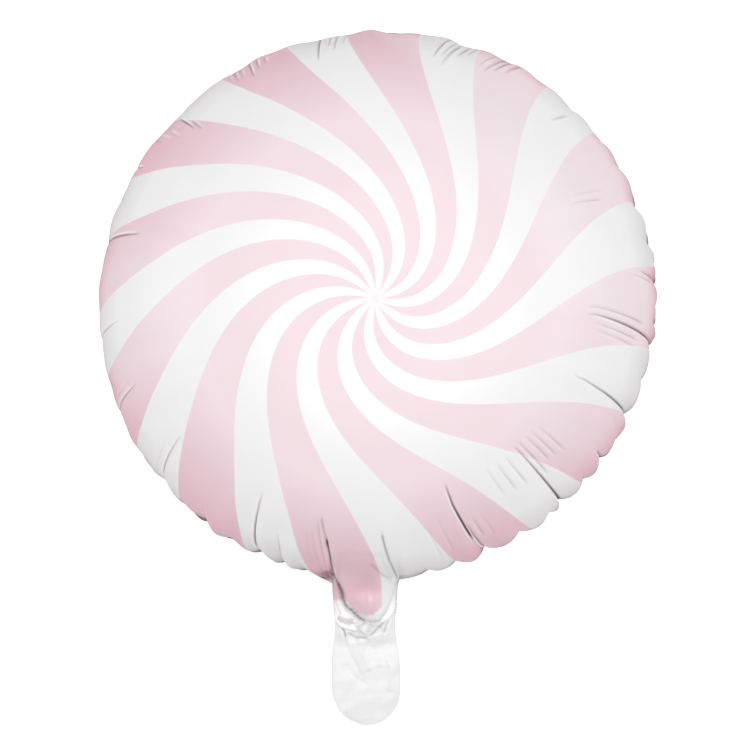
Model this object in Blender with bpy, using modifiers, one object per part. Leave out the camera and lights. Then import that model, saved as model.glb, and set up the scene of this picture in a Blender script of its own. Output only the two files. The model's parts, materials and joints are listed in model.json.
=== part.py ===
"""A round foil balloon, filled tight and lying on its back with its flat filling tail towards -Y.

The film is cut as two flat discs and welded round the rim. Filled, the discs take a
known curve: where the film has turned down by an angle t, the radius is R * sqrt(sin t).
The film that the smaller rim leaves over gathers into folds, which start at the weld.
"""

import math

import bmesh
import bpy
import numpy as np

MM = 0.001

# The filled body
WELD_RADIUS = 175.2 * MM
OVAL_SHARE = 0.0138
OVAL_AXIS = math.radians(22)
WELD_WIDTH = 2.6 * MM
WELD_HALF_THICKNESS = 0.6 * MM
WELD_RECESS = 3.2 * MM
WELD_RECESS_REACH = 7 * MM
REST_SPOT_RADIUS = 34 * MM
POLE_RING_RADIUS = 12 * MM
FILM_STEPS = 4001

# Rings of the film: the first gap beside the weld, and how much wider each next gap is
FIRST_RING_GAP = 4.5 * MM
RING_GROWTH = 1.24

# Folds, anticlockwise from the left side of the neck: angle at the rim in degrees,
# depth at the rim and reach over the film in millimetres
FOLDS = (
    (-99.1, 3.2, 70),
    (-85.9, 3.2, 84),
    (-78.5, 2.8, 44),
    (-72.4, 2.8, 48),
    (-65.8, 4.6, 106),
    (-57.6, 4.0, 52),
    (-50.4, 1.7, 36),
    (-47.0, 4.2, 100),
    (-40.6, 4.4, 50),
    (-35.0, 5.0, 58),
    (-30.0, 1.8, 36),
    (-24.6, 4.8, 98),
    (-16.8, 3.0, 46),
    (-9.2, 4.4, 96),
    (-4.9, 2.2, 36),
    (-1.5, 1.5, 30),
    (3.6, 2.7, 60),
    (7.1, 1.6, 34),
    (11.1, 2.9, 46),
    (18.9, 2.9, 48),
    (27.9, 2.7, 56),
    (33.8, 1.3, 36),
    (41.6, 2.0, 62),
    (49.4, 1.5, 40),
    (59.5, 1.8, 64),
    (71.4, 2.4, 68),
    (99.5, 1.8, 62),
    (118.2, 1.3, 56),
    (135.8, 1.5, 64),
    (152.6, 1.2, 48),
    (168.0, 1.5, 72),
    (188.6, 2.0, 62),
    (204.2, 2.9, 66),
    (211.8, 1.9, 44),
    (221.4, 3.9, 76),
    (227.6, 2.4, 46),
    (233.1, 2.6, 44),
    (239.2, 2.1, 44),
    (246.0, 4.2, 88),
    (251.3, 2.9, 74),
    (255.6, 1.9, 66),
)
FOLD_SHARPNESS = 2.6
FOLD_FADE = 1.5
FULL_DEPTH_REACH = 9 * MM
LOBE_COLUMNS = 4
WIDE_LOBE_STEP = 2.8
SEAM_WAVE_SHARE = 0.6
SEAM_WAVE_REACH = 14 * MM

# The folds don't point at the middle but lean to one side of it
LEAN = math.radians(5.5)
LEAN_AXIS = math.radians(35)
LEAN_REACH = 60 * MM
LEAN_LIMIT = 1.5

# The neck: a bulge of the body that gets lower and rounder as it runs out into the tail
NECK_X = -7.3 * MM
NECK_HALF_WIDTH = 19.6 * MM
NECK_LENGTH = 34 * MM
NECK_FILM = 56 * MM
NECK_SQUARENESS = 8
NECK_LOWNESS = 0.6
NECK_LOW_FILM = 25 * MM
NECK_ROUND_FILM = 20 * MM
NECK_BLEND_FILM = 38 * MM
NECK_LEFT_SKIRT = 8 * MM
NECK_RIGHT_SKIRT = 5 * MM
NECK_SKIRT_REACH = 6 * MM
NECK_SKIRT_FILM = 20 * MM
NECK_SKIRT_ROUNDING = 0.8
NECK_COLUMNS = 12

# The tail: two flat layers of film with a round end
TAIL_GAP = 0.4 * MM
TAIL_LENGTH = 59.3 * MM
TAIL_ROOT_HALF_WIDTH = 18.9 * MM
TAIL_HALF_WIDTH = 21.6 * MM
TAIL_FLARE_LENGTH = 28 * MM
TAIL_THICKNESS = 0.9 * MM
TAIL_DROOP = 6 * MM
TAIL_SKEW = 1.2 * MM
TAIL_COLUMNS = 12
TAIL_ROWS = 26
TAIL_END_SHARE = 0.985
GATHERS = 3
GATHER_HEIGHT = 1.4 * MM
GATHER_REACH = 26 * MM
GATHER_START = 0.25

PRINTED_FILM = (0.90, 0.72, 0.76)
CLEAR_FILM = (0.86, 0.86, 0.87)


def film_tables():
    """Radius, height over the weld and film length to the weld, against the film's slope."""
    slope = np.linspace(0, 1, FILM_STEPS) ** 2 * math.pi / 2
    middle = (slope[1:] + slope[:-1]) / 2
    step = np.diff(slope)
    drops = WELD_RADIUS / 2 * np.sqrt(np.sin(middle)) * step
    lengths = WELD_RADIUS / 2 / np.sqrt(np.sin(middle)) * step
    radius = WELD_RADIUS * np.sqrt(np.sin(slope))
    height = np.append(np.cumsum(drops[::-1])[::-1], 0)
    reach = np.append(np.cumsum(lengths[::-1])[::-1], 0)
    return radius, height, reach


FILM_RADIUS, FILM_HEIGHT, FILM_REACH = film_tables()
HALF_HEIGHT = float(FILM_HEIGHT[0])
REST_LEVEL = float(np.interp(REST_SPOT_RADIUS, FILM_RADIUS, FILM_HEIGHT))


def smooth_step(value):
    share = min(1, max(0, value))
    return share * share * (3 - 2 * share)


def film_reach(radius):
    return float(np.interp(radius, FILM_RADIUS, FILM_REACH))


def panel_rings(inner_radius):
    """Radius and height of each ring of one film panel, from the weld inwards."""
    rings = []
    gap = FIRST_RING_GAP
    reach = gap
    while True:
        radius = float(np.interp(-reach, -FILM_REACH, FILM_RADIUS))
        if radius < inner_radius + gap / 2:
            break
        rings.append((radius, float(np.interp(-reach, -FILM_REACH, FILM_HEIGHT))))
        gap *= RING_GROWTH
        reach += gap
    return rings


def body_profile():
    """The outer line of the body, from the top pole over the weld to the resting spot."""
    top = [(0, HALF_HEIGHT), (POLE_RING_RADIUS, HALF_HEIGHT)]
    top += reversed(panel_rings(POLE_RING_RADIUS))
    weld = [
        (WELD_RADIUS, WELD_HALF_THICKNESS),
        (WELD_RADIUS + WELD_WIDTH, WELD_HALF_THICKNESS),
        (WELD_RADIUS + WELD_WIDTH, -WELD_HALF_THICKNESS),
        (WELD_RADIUS, -WELD_HALF_THICKNESS),
    ]
    back = [(radius, -height) for radius, height in panel_rings(REST_SPOT_RADIUS)]
    back += [(REST_SPOT_RADIUS, -REST_LEVEL), (0, -REST_LEVEL)]
    return top + weld + back


def lobe_shares(count, is_neck):
    """Where a lobe's columns stand between its two folds, from 0 to 1."""
    even = [index / count for index in range(count)]
    if is_neck:
        return [(1 - math.cos(math.pi * share)) / 2 for share in even]
    return even


def rim_columns():
    """For each column of the mesh: the fold before it, and its share of the way to the next."""
    columns = []
    for number, fold in enumerate(FOLDS):
        width = (FOLDS[(number + 1) % len(FOLDS)][0] - fold[0]) % 360
        is_neck = number == 0
        count = NECK_COLUMNS if is_neck else max(LOBE_COLUMNS, round(width / WIDE_LOBE_STEP))
        columns += [(number, share) for share in lobe_shares(count, is_neck)]
    return columns


def fold_angle(number, reach):
    """The angle of one fold's line, at a film length from the weld."""
    turns, index = divmod(number, len(FOLDS))
    angle = math.radians(FOLDS[index][0] + 360 * turns)
    lean = min(reach / LEAN_REACH, LEAN_LIMIT)
    return angle + LEAN * math.cos(angle - LEAN_AXIS) * lean


def fold_depth(number, reach):
    depth, fold_reach = FOLDS[number % len(FOLDS)][1:]
    past = max(0, reach - FULL_DEPTH_REACH) / (fold_reach * MM - FULL_DEPTH_REACH)
    return depth * MM * max(0, 1 - past) ** FOLD_FADE


def fold_dent(number, share, reach):
    """How far the film lies in between two folds: nothing on the crest, a cusp at each fold."""
    side = number if share < 0.5 else number + 1
    return fold_depth(side, reach) * abs(2 * share - 1) ** FOLD_SHARPNESS


def seam_wave(number, share, reach):
    """The rim swings up and down from fold to fold."""
    here = fold_depth(number, 0) * (-1) ** number
    after = fold_depth(number + 1, 0) * (-1) ** (number + 1)
    blend = (1 - math.cos(math.pi * share)) / 2
    height = here * (1 - blend) + after * blend
    return height * SEAM_WAVE_SHARE * math.exp(-reach / SEAM_WAVE_REACH)


def neck_share(x):
    """How much of the neck's length each place across it gets: all in the middle, none at its sides."""
    across = abs(x - NECK_X) / NECK_HALF_WIDTH
    return max(0, 1 - across**NECK_SQUARENESS) ** (1 / NECK_SQUARENESS)


def neck_length(x, reach=0):
    """How far the neck and its skirts draw the film out past the round rim."""
    across = (x - NECK_X) / NECK_HALF_WIDTH
    past = max(0, abs(across) - 1)
    side = min(1, max(0, (across + 1) / 2))
    skirt = NECK_LEFT_SKIRT + (NECK_RIGHT_SKIRT - NECK_LEFT_SKIRT) * side
    skirt *= math.exp(-past * NECK_HALF_WIDTH / NECK_SKIRT_REACH)
    bulge = max(0, NECK_LENGTH * neck_share(x) - skirt)
    skirt_fade = max(0, 1 - reach / NECK_SKIRT_FILM) ** NECK_SKIRT_ROUNDING
    return skirt * skirt_fade + bulge * max(0, 1 - reach / NECK_FILM)


def neck_lowering(x, reach):
    """What the film's height is multiplied by in the neck, which is low and round in section."""
    across = min(1, abs(x - NECK_X) / NECK_HALF_WIDTH)
    low = NECK_LOWNESS + (1 - NECK_LOWNESS) * smooth_step((reach - NECK_LOW_FILM) / NECK_BLEND_FILM)
    section = math.sqrt(1 - across**2)
    section += (1 - section) * smooth_step((reach - NECK_ROUND_FILM) / NECK_BLEND_FILM)
    return 1 - neck_share(x) * (1 - low * section)


def film_place(radius, height, column):
    """Where a point of the plain turned body goes once the film has folded."""
    number, share = column
    reach = film_reach(min(radius, WELD_RADIUS))
    start = fold_angle(number, reach)
    angle = start + share * (fold_angle(number + 1, reach) - start)
    sin_slope = min(1, (radius / WELD_RADIUS) ** 2)
    cos_slope = math.sqrt(1 - sin_slope**2)
    dent = fold_dent(number, share, reach)
    oval = 1 + OVAL_SHARE * math.cos(2 * (angle - OVAL_AXIS))
    recess = WELD_RECESS * math.exp(-((reach / WELD_RECESS_REACH) ** 2))
    out = radius * oval - dent * sin_slope - recess
    x = out * math.cos(angle)
    y = out * math.sin(angle)
    z = height - math.copysign(dent * cos_slope, height)
    if y < 0:
        y -= neck_length(x, reach)
        z *= neck_lowering(x, reach)
    return x, y, z + seam_wave(number, share, reach)


def clear_scene():
    for obj in list(bpy.data.objects):
        bpy.data.objects.remove(obj)


def film_material(name, colour, roughness, alpha=1.0):
    material = bpy.data.materials.new(name)
    material.use_nodes = True
    shader = material.node_tree.nodes["Principled BSDF"]
    shader.inputs["Base Color"].default_value = (*colour, 1)
    shader.inputs["Roughness"].default_value = roughness
    shader.inputs["Metallic"].default_value = 0
    shader.inputs["Alpha"].default_value = alpha
    return material


def add_object(name, mesh, material, collection):
    obj = bpy.data.objects.new(name, mesh)
    mesh.materials.clear()
    mesh.materials.append(material)
    collection.objects.link(obj)
    return obj


def turned_mesh(profile, steps):
    """The profile turned once round Z, as a plain mesh."""
    line = bpy.data.meshes.new("profile")
    edges = [(index, index + 1) for index in range(len(profile) - 1)]
    line.from_pydata([(radius, 0, height) for radius, height in profile], edges, [])
    guide = bpy.data.objects.new("profile", line)
    bpy.context.scene.collection.objects.link(guide)
    screw = guide.modifiers.new("Turn", "SCREW")
    screw.steps = steps
    screw.render_steps = steps
    screw.use_merge_vertices = True
    screw.merge_threshold = 0.01 * MM
    bpy.context.view_layer.update()
    turned = bpy.data.meshes.new_from_object(guide.evaluated_get(bpy.context.evaluated_depsgraph_get()))
    bpy.data.objects.remove(guide)
    return turned


def make_envelope(collection):
    columns = rim_columns()
    mesh = turned_mesh(body_profile(), len(columns))
    for vertex in mesh.vertices:
        x, y, z = vertex.co
        number = round(math.atan2(y, x) / math.tau * len(columns)) % len(columns)
        vertex.co = film_place(math.hypot(x, y), z, columns[number])
    mesh.shade_smooth()
    mesh.name = "envelope"
    material = film_material("printed_film", PRINTED_FILM, roughness=0.3)
    envelope = add_object("envelope", mesh, material, collection)
    envelope.location.z = REST_LEVEL
    return envelope


def tail_half_width(along):
    """Half the tail's width at a distance from its root, with a round end."""
    flare = smooth_step(along / TAIL_FLARE_LENGTH)
    width = TAIL_ROOT_HALF_WIDTH + (TAIL_HALF_WIDTH - TAIL_ROOT_HALF_WIDTH) * flare
    past = max(0, along - (TAIL_LENGTH - TAIL_HALF_WIDTH))
    return width * math.sqrt(max(0, 1 - (past / TAIL_HALF_WIDTH) ** 2))


def tail_row(row):
    """Distance of a row from the root: the rows close up over the round end."""
    straight = TAIL_LENGTH - TAIL_HALF_WIDTH
    end_rows = TAIL_ROWS // 2
    if row <= TAIL_ROWS - end_rows:
        return straight * row / (TAIL_ROWS - end_rows)
    turn = math.pi / 2 * (row - (TAIL_ROWS - end_rows)) / end_rows
    return straight + TAIL_HALF_WIDTH * math.sin(turn * TAIL_END_SHARE)


def neck_end(x):
    """Y of the neck's outer edge at a place across it."""
    rim = WELD_RADIUS + WELD_WIDTH
    oval = 1 - OVAL_SHARE * math.cos(2 * OVAL_AXIS)
    return -math.sqrt((rim * oval - WELD_RECESS) ** 2 - x**2) - neck_length(x)


def tail_place(across, along):
    """A point of the tail: across from -1 to 1, along from its root."""
    to_tip = along / TAIL_LENGTH
    x = NECK_X + across * tail_half_width(along) + TAIL_SKEW * to_tip
    root = neck_end(NECK_X + across * TAIL_ROOT_HALF_WIDTH)
    y = root + (neck_end(NECK_X) - root) * to_tip - TAIL_GAP - along
    fade = max(0, 1 - along / GATHER_REACH)
    fade *= min(1, to_tip / GATHER_START)
    gather = GATHER_HEIGHT * math.sin(math.pi * GATHERS * across) * fade
    return x, y, gather - TAIL_DROOP * to_tip**2


def make_tail(collection):
    bm = bmesh.new()
    bmesh.ops.create_grid(bm, x_segments=TAIL_COLUMNS, y_segments=TAIL_ROWS, size=1)
    for vertex in bm.verts:
        row = round((1 - vertex.co.y) / 2 * TAIL_ROWS)
        vertex.co = tail_place(vertex.co.x, tail_row(row))
    bmesh.ops.triangulate(bm, faces=bm.faces)
    mesh = bpy.data.meshes.new("tail")
    bm.to_mesh(mesh)
    bm.free()
    material = film_material("clear_film", CLEAR_FILM, roughness=0.25, alpha=0.6)
    tail = add_object("tail", mesh, material, collection)
    tail.location.z = REST_LEVEL
    solidify = tail.modifiers.new("Film", "SOLIDIFY")
    solidify.thickness = TAIL_THICKNESS
    solidify.offset = 0
    return tail


def main():
    clear_scene()
    collection = bpy.data.collections.new("foil_balloon")
    bpy.context.scene.collection.children.link(collection)
    make_envelope(collection)
    make_tail(collection)


main()
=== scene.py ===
"""The looks of a round foil balloon that lies on its back, printed as a pink and white candy swirl.

The body is one closed mesh on the curve that two welded film discs take when they are
filled. Its folds, creases and pleats are lines that run in from the weld. Each point also
keeps its place on the flat printed sheet, and the swirl is worked out from that place.
Sizes are in metres unless a comment says otherwise, and the Y axis runs away from the tail.
A START pair, CORNER_FILM and NECK_LIGHT_SIDE say where something sets in and its width.
"""

import json
import math

import bpy
import numpy as np
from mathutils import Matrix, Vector

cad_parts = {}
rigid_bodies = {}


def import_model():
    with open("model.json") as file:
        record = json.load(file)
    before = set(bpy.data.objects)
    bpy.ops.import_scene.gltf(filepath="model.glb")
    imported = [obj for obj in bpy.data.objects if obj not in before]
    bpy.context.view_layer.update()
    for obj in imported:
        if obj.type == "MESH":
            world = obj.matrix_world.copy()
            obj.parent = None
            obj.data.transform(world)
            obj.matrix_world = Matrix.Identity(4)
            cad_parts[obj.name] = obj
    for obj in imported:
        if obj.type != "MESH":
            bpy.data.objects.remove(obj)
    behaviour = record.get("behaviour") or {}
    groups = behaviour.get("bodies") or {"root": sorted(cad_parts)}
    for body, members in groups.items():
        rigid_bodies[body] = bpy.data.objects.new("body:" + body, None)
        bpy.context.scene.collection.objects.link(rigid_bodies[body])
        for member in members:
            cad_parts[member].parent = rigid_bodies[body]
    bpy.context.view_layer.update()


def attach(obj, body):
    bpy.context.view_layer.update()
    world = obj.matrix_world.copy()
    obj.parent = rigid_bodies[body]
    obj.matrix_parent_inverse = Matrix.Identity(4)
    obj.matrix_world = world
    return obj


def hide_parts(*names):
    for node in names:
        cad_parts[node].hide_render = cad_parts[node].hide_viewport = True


MM = 0.001
FULL_TURN = 2 * math.pi

# The filled body: the same curve and weld as the solid that it stands for
WELD_RADIUS = 175.2 * MM
OVAL_SHARE = 0.0138
OVAL_AXIS = math.radians(22)
WELD_WIDTH = 2.6 * MM
WELD_HALF_THICKNESS = 0.45 * MM
WELD_RECESS = 3.2 * MM
WELD_RECESS_REACH = 7 * MM
REST_SPOT_RADIUS = 34 * MM
FILM_TABLE_ROWS = 6001

# Folds, anticlockwise from the left side of the neck: angle at the rim in degrees,
# depth at the rim and reach over the film in millimetres
FOLDS = (
    (-99.1, 3.2, 70),
    (-85.9, 3.2, 84),
    (-78.5, 2.8, 44),
    (-72.4, 4.4, 48),
    (-65.8, 6.6, 106),
    (-57.6, 4, 52),
    (-50.4, 4.4, 36),
    (-47, 5.2, 100),
    (-40.6, 4.4, 50),
    (-35, 5, 58),
    (-30, 1.8, 36),
    (-24.6, 6.2, 98),
    (-16.8, 3, 46),
    (-9.2, 4.4, 96),
    (-4.9, 2.2, 36),
    (-1.5, 1.5, 30),
    (3.6, 2.7, 60),
    (7.1, 1.6, 34),
    (11.1, 2.9, 46),
    (18.9, 5.4, 48),
    (27.9, 3.2, 56),
    (34.2, 2.8, 40),
    (43.4, 4.8, 62),
    (50.4, 1.8, 40),
    (59.5, 2.7, 64),
    (71.4, 2.4, 68),
    (99.5, 2.8, 62),
    (118.2, 1.3, 56),
    (135.8, 1.9, 64),
    (152.6, 1.2, 48),
    (168, 2.6, 72),
    (188.6, 3.2, 62),
    (204.2, 3.3, 66),
    (211.8, 1.9, 44),
    (221.1, 5.8, 76),
    (227.6, 3, 46),
    (233.1, 4.8, 44),
    (239.2, 2.7, 44),
    (246, 5.8, 88),
    (251.3, 4.5, 74),
    (255.6, 1.9, 66),
)
ROUND_LOBES = (-160, 80)
ROUND_SHARPNESS = 2.1
SLIGHT_SHARPNESS = 3.0
SLIGHT_CREST = 0.62
FULL_CREST_AT = -55
FULL_CREST_REACH = 60
SLIGHT_CREST_REACH = 100
FOLD_FADE = 1.5
FULL_DEPTH_REACH = 9 * MM
SEAM_WAVE_SHARE = 0.6
SEAM_WAVE_REACH = 14 * MM

# The folds don't point at the middle but lean to one side of it
LEAN = math.radians(5.5)
LEAN_AXIS = math.radians(35)
LEAN_REACH = 60 * MM
LEAN_LIMIT = 1.5
LOW_LEAN = math.radians(-1.4)
LOW_LEAN_AT = math.radians(-67)
LOW_LEAN_SPREAD = math.radians(17)

# Sharp creases in the film: angle that the line has at the rim in degrees, depth, width,
# and film distance from the weld at its outer and inner ends, all in millimetres
CREASES = (
    (-9.2, 2.8, 0.5, 0, 96),
    (-7.4, 1, 0.8, 42, 98),
    (-11.2, 0.9, 0.8, 46, 92),
    (-12.8, 0.8, 0.8, 50, 88),
    (-24.6, 2.6, 0.5, 0, 96),
    (-35, 2.6, 0.55, 0, 40),
    (-40.6, 2.6, 0.55, 0, 30),
    (-47, 3.4, 0.5, 0, 104),
    (-45.6, 1.4, 0.6, 66, 106),
    (-43.4, 1.1, 0.7, 74, 103),
    (-41.7, 1, 0.7, 72, 102),
    (-39.7, 0.9, 0.7, 70, 100),
    (-50.2, 1.1, 0.7, 72, 102),
    (-52.6, 1.1, 0.7, 74, 102),
    (-55.2, 0.9, 0.7, 76, 102),
    (-57.6, 2.3, 0.74, 0, 22),
    (-65.8, 4.2, 0.5, 48, 107),
    (-65.1, 3.2, 0.5, 0, 70),
    (-63.4, 1.1, 0.8, 48, 76),
    (-61.4, 0.5, 1.04, 44, 72),
    (-70.4, 0.5, 1.12, 46, 84),
    (-73.4, 0.5, 1.12, 40, 78),
    (-114, 2.6, 0.5, 0, 88),
    (-108.6, 1, 0.96, 30, 60),
    (-126.9, 1.1, 0.96, 0, 40),
    (-138.6, 2.6, 0.5, 0, 78),
    (-140.9, 0.8, 0.96, 30, 64),
    (-155.8, 1.8, 0.5, 0, 62),
    (-157.6, 0.6, 0.96, 26, 56),
    (-171.4, 1.6, 0.6, 0, 57),
    (168, 3, 0.55, 10, 67),
    (151.1, 2.2, 0.68, 4, 36),
    (144.2, 1, 0.6, 14, 36),
    (142.7, 1.4, 0.6, 16, 46),
    (141, 1.4, 0.6, 28, 52),
    (139.3, 1.2, 0.6, 20, 46),
    (137.3, 2.9, 0.55, 24, 57),
    (136.2, 1.7, 0.72, 44, 64),
    (123, 1, 0.6, 14, 36),
    (121.6, 1.5, 0.6, 14, 42),
    (120.1, 1.9, 0.6, 12, 40),
    (117.8, 3.2, 0.55, 14, 50),
    (115.9, 1.9, 0.8, 20, 46),
    (114, 1.4, 0.8, 24, 42),
    (101.3, 2.8, 0.5, 12, 58),
    (98.7, 2.4, 0.56, 18, 44),
    (97.2, 2.4, 0.56, 20, 52),
    (95.4, 1, 0.8, 18, 44),
    (72.9, 3, 0.55, 14, 58),
    (71.2, 1.4, 0.8, 20, 58),
    (69.8, 2.8, 0.55, 22, 66),
    (68.2, 2.2, 0.62, 20, 48),
    (66.6, 1.4, 0.88, 18, 42),
    (60.4, 3.2, 0.62, 14, 58),
    (58.9, 2.4, 0.56, 18, 52),
    (56.8, 2.2, 0.62, 20, 48),
    (62.2, 1, 0.88, 22, 56),
    (40.6, 1.4, 0.6, 42, 62),
    (18.6, 0.8, 1.12, 66, 95),
    (20.8, 0.5, 1.12, 62, 90),
    (3.4, 3, 0.68, 4, 46),
    (2, 0.8, 0.96, 28, 58),
)
CREASE_START = 4 * MM
CREASE_END = 9 * MM
CREASE_FADE = 0.45
LIP_SHARE = 0.3
LIP_HIGHEST = 0.7
LIP_PLACE = 2.6
LIP_SPREAD = 1.3
LIP_START = (14, 22)

# Painted shade darkens the film inside a fold, and a painted highlight brightens its edge beside the fold:
# widths and places of the lines in millimetres, and the depths that show them fully
EDGE_PLACE = 1.15
EDGE_WIDTH = 0.55
EDGE_DEPTH = 2.6
EDGE_START = (14, 12)
EDGE_END = 9
SHADE_WIDTH = 0.58
SHADE_DEPTH = 2.6
NOTCH_SHADE_WIDTH = 0.8
NOTCH_SHADE_DEPTH = 6.5
NOTCH_SHADE_REACH = 16 * MM

# Slow dents that any tight film shows near the rim: how many waves each has round it, how
# much film it takes to lean by one radian, how many waves have the full depth, and where the
# dents are strongest
DENT_SEED = 11
DENT_COUNT = 14
DENT_DEPTH = 0.32 * MM
DENT_WAVES = (7, 46)
DENT_RUN = 30 * MM
FULL_DENT_WAVES = 12
DENT_MIDDLE = 26 * MM
DENT_REACH = 60 * MM

# The neck: a bulge of the body that gets lower and rounder as it runs out into the tail.
# Values that end in FILM are film distances from the weld
NECK_X = -7.3 * MM
NECK_HALF_WIDTH = 19.6 * MM
NECK_LENGTH = 34 * MM
NECK_FILM = 56 * MM
NECK_SIDE_FILM = 2 * NECK_FILM
NECK_SQUARENESS = 8
NECK_SPREAD = 0.2
NECK_BUMP_FILM = 42 * MM
NECK_BUMP_SQUARENESS = 2
NECK_BUMP_POWER = 1.5
NECK_LOWNESS = 0.6
NECK_LOW_FILM = 25 * MM
NECK_ROUND_FILM = 20 * MM
NECK_BLEND_FILM = 38 * MM
NECK_LEFT_SKIRT = 8 * MM
NECK_RIGHT_SKIRT = 5 * MM
NECK_SKIRT_REACH = 6 * MM
NECK_SKIRT_FILM = 20 * MM
NECK_SKIRT_ROUNDING = 0.8
NECK_PRINT_FILM = 47 * MM
NECK_PRINT_SHIFT = 2.0 * MM
NECK_PRINT_BLEND = 9 * MM
NECK_STRAIGHT_BLEND = 4 * NECK_PRINT_BLEND
NECK_COLUMN_STEP = 0.16
NECK_MARGIN = 1.12
NECK_EDGE = 1.1
NECK_EDGE_WIDTH = 0.2

# The fold that the filled neck ends in, from its left side round to its right: places seen
# from the front, in millimetres. Outside it the film drops and gathers
NECK_END_FOLD = (
    (-27.6, -167),
    (-24.6, -174),
    (-21.6, -180.5),
    (-20.3, -187),
    (-18.5, -190.4),
    (-15.3, -192.7),
    (-12.9, -195.2),
    (-9.7, -198),
    (-2.6, -200.9),
    (1.6, -199.6),
    (5.4, -194.4),
    (8.8, -187.4),
    (10.9, -179),
    (12.2, -171),
)
NECK_END_DEPTH = 1.6
NECK_END_WIDTHS = (0.7, 1.4)
NECK_DOME_HEIGHT = 16 * MM
NECK_DOME_REACH = 15
NECK_DOME_SIDE = 0.75
NECK_DOME_FILM = 22 * MM
NECK_DOME_BLEND = 32 * MM
# Painted shade in the neck's end fold, on its left and on its right
END_SHADE_LEFT = 0.8
END_SHADE_RIGHT = 0.12
NECK_SHELF = 2.4 * MM
NECK_SHELF_FILM = 8 * MM
CORNER_TUCK = 0.72
CORNER_WIDTH = 10 * MM
CORNER_FILM = (8 * MM, 26 * MM)

# The ink stops here, with a round end
INK_END = -195.6
INK_END_MIDDLE = -6.5
INK_END_ROUNDING = 0.06
INK_END_OUTSIDE = -186.3
INK_EDGE = 0.8

# Painted light pales the neck towards the bare film colour: a little over it, much more on its right side,
# and more in its corners
NECK_PAINTED_LIGHT = 0.2
NECK_LIGHT_SIDE = (0.2, 0.5)
NECK_RIGHT_PAINTED_LIGHT = 0.85
CORNER_PAINTED_LIGHT = 0.55
CORNER_PAINTED_LIGHT_WIDTH = 7 * MM
CORNER_PAINTED_LIGHT_FILM = 9 * MM

# Folds in the neck and the tail, as lines: points in millimetres, depth, the widths of the groove on the
# left and on the right of the line's run, and how much painted shade it gets
NECK_FOLDS = (
    (((-34, -131), (-32.8, -138), (-31, -145), (-29.8, -151)), 1.8, 0.6, 1.1, 0.35),
    (((-31, -144), (-30, -149.4), (-28.8, -156.1), (-27.9, -163.1), (-26.6, -172)), 2.8, 0.6, 1.2, 1),
    (((-36.3, -134), (-34.4, -148.6), (-31.9, -161.2), (-28.8, -170.6)), 2, 1.6, 1.1, 0.14),
    (((-40.1, -138.5), (-38.2, -151.7), (-35.1, -164.3), (-31.4, -173)), 1.8, 1.6, 1.1, 0.1),
    (((-43.4, -138), (-42.2, -150), (-39.2, -163)), 1.5, 1.6, 1.1, 0.06),
    (((3, -141), (5, -150), (7.8, -159.3), (11.2, -167.4), (13.4, -174)), 2.6, 0.7, 1.3, 0.7),
    (((-4.6, -160.5), (-1, -164.4), (3.2, -169.2), (8.6, -172.2)), 1.5, 0.7, 2.2, 0.3),
    (((-2.2, -157.6), (2.4, -163), (6.4, -168.6)), -0.8, 1.2, 1.4, 0),
    (((16, -170), (13.2, -174), (10, -178)), 1, 0.7, 1.2, 0.3),
    (((-26.4, -186), (-24.4, -191.6), (-22, -197.6)), 1, 0.7, 1.6, 0.2),
    (((-5.6, -174), (-7.4, -183), (-7, -192)), 0.7, 2.6, 3.4, 0),
)
TAIL_FOLDS = (
    (((-25.3, -195.8), (-22.8, -201.2), (-20.2, -206.5), (-18.8, -211)), 1.5, 2.2, 0.7, 0.5),
    (((-20, -207), (-18, -214.8), (-12.4, -228.7), (-9.2, -236)), 0.5, 2.6, 0.8, 0.1),
    (((-19.4, -197), (-12.4, -202.8), (-5.6, -208.9)), -1.9, 2.4, 1, 0),
    (((-19.2, -206.6), (-12.4, -210.2), (-4.8, -210.2)), 1.3, 0.6, 1.8, 0.35),
    (((-5.4, -210), (2.1, -202.8), (7.2, -195.2), (11.4, -187)), 1.5, 1.6, 0.7, 0.4),
    (((7.6, -197.6), (6, -203), (3.6, -209)), 0.9, 1.6, 0.7, 0.25),
    (((-14.6, -194), (-8, -199.6), (-1, -203.6), (4, -202.6)), 0.9, 1.2, 1.6, 0.15),
    (((-7.6, -211), (-8.2, -221), (-3.6, -232)), -0.6, 1.2, 3.2, 0),
    (((-3.2, -212), (1.6, -219), (1, -230)), -0.4, 3.4, 2, 0),
    (((-21, -226), (-14, -235), (-5, -241)), 0.4, 3, 2, 0),
    (((6, -222), (9.8, -233), (8, -245)), -0.45, 3.4, 1.6, 0),
    (((-21.4, -257), (-16, -262.4), (-9, -265.4)), 0.5, 1.6, 0.7, 0.1),
)
LINE_END = 3.0

# The tail: two flat layers of film with a round end
TAIL_OVERLAP = 8.0 * MM
TAIL_LENGTH = 59.3 * MM
TAIL_ROOT_HALF_WIDTH = 18.9 * MM
TAIL_HALF_WIDTH = 21.6 * MM
TAIL_FLARE_LENGTH = 28 * MM
TAIL_THICKNESS = 0.3 * MM
TAIL_DROOP = 6 * MM
TAIL_SKEW = 1.2 * MM
TAIL_COLUMNS = 96
TAIL_ROWS = 150
TAIL_END_SHARE = 0.985
TAIL_SQUARENESS = 4
TAIL_THINNEST = 0.02

# The crumpled collar that the film gathers in between the neck and the tail
COLLAR_SEED = 5
COLLAR_WAVES = 4
COLLAR_PERIODS = (9.0, 21.0)
COLLAR_STEEPNESS = 0.16
COLLAR_WARP = 1.3
COLLAR_WARP_LENGTHS = (3.7, 4.3)
COLLAR_SQUARENESS = 6
COLLAR_RISE = 2.4 * MM
COLLAR_PLACES = (-203.0 * MM, -217.0 * MM)
TAIL_CRUMPLE = 0.07

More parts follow.
